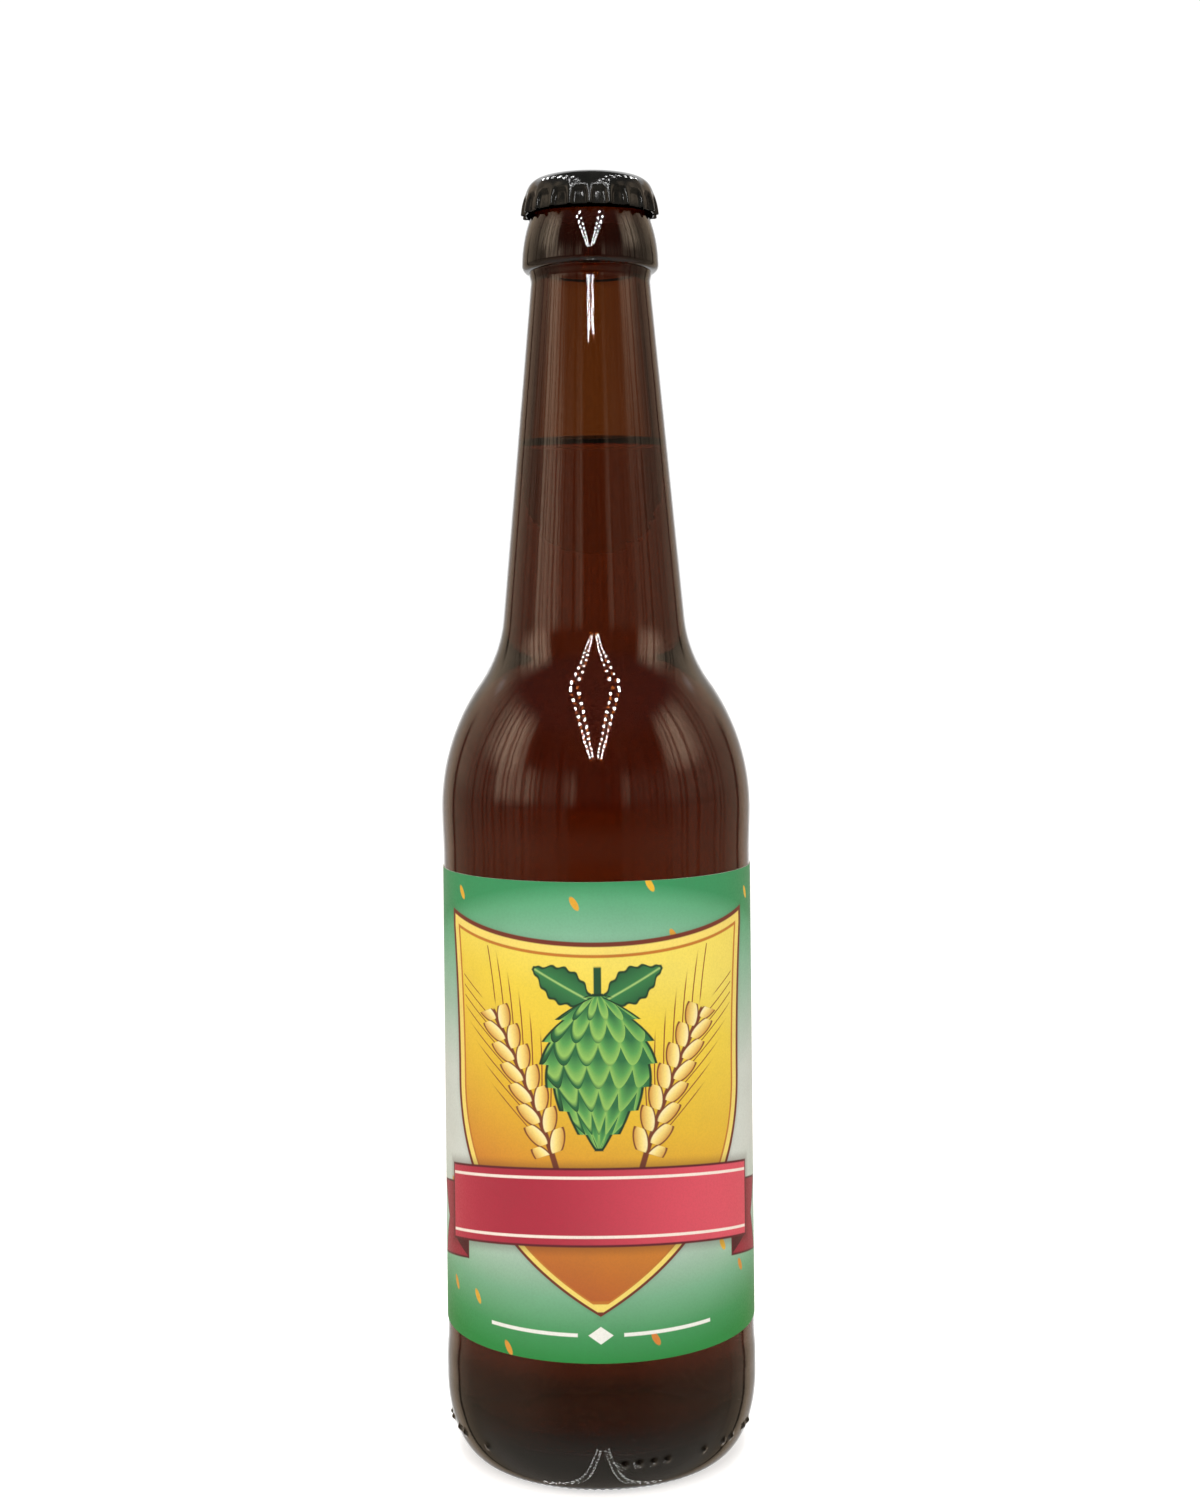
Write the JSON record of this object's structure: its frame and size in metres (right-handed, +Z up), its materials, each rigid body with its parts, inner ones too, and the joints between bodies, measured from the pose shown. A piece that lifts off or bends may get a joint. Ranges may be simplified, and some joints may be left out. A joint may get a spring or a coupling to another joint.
{
  "type": "beer bottle",
  "caption": "Shut amber glass beer bottle with a long tapered neck, filled to part way up the neck, closed by a fluted crown cap and dressed with a paper label that wraps three quarters of the body.",
  "frame": {"origin": "middle of the base, on the surface that the bottle stands on", "axes": "+Z up along the bottle's axis; the middle of the label faces -Y and the bare glass between its ends faces +Y; +X to the right as seen from the front"},
  "size_m": [0.064, 0.064, 0.2614],
  "materials": {
    "amber_glass": "clear dark amber glass, fire polished",
    "beer": "clear amber liquid",
    "label_paper": "coated paper, printed, satin",
    "black_lacquer": "black lacquered tinplate, glossy"
  },
  "bodies": {
    "root": {"bottle": "amber_glass", "beer": "beer", "label": "label_paper", "crown_cap": "black_lacquer"}
  },
  "joints": []
}
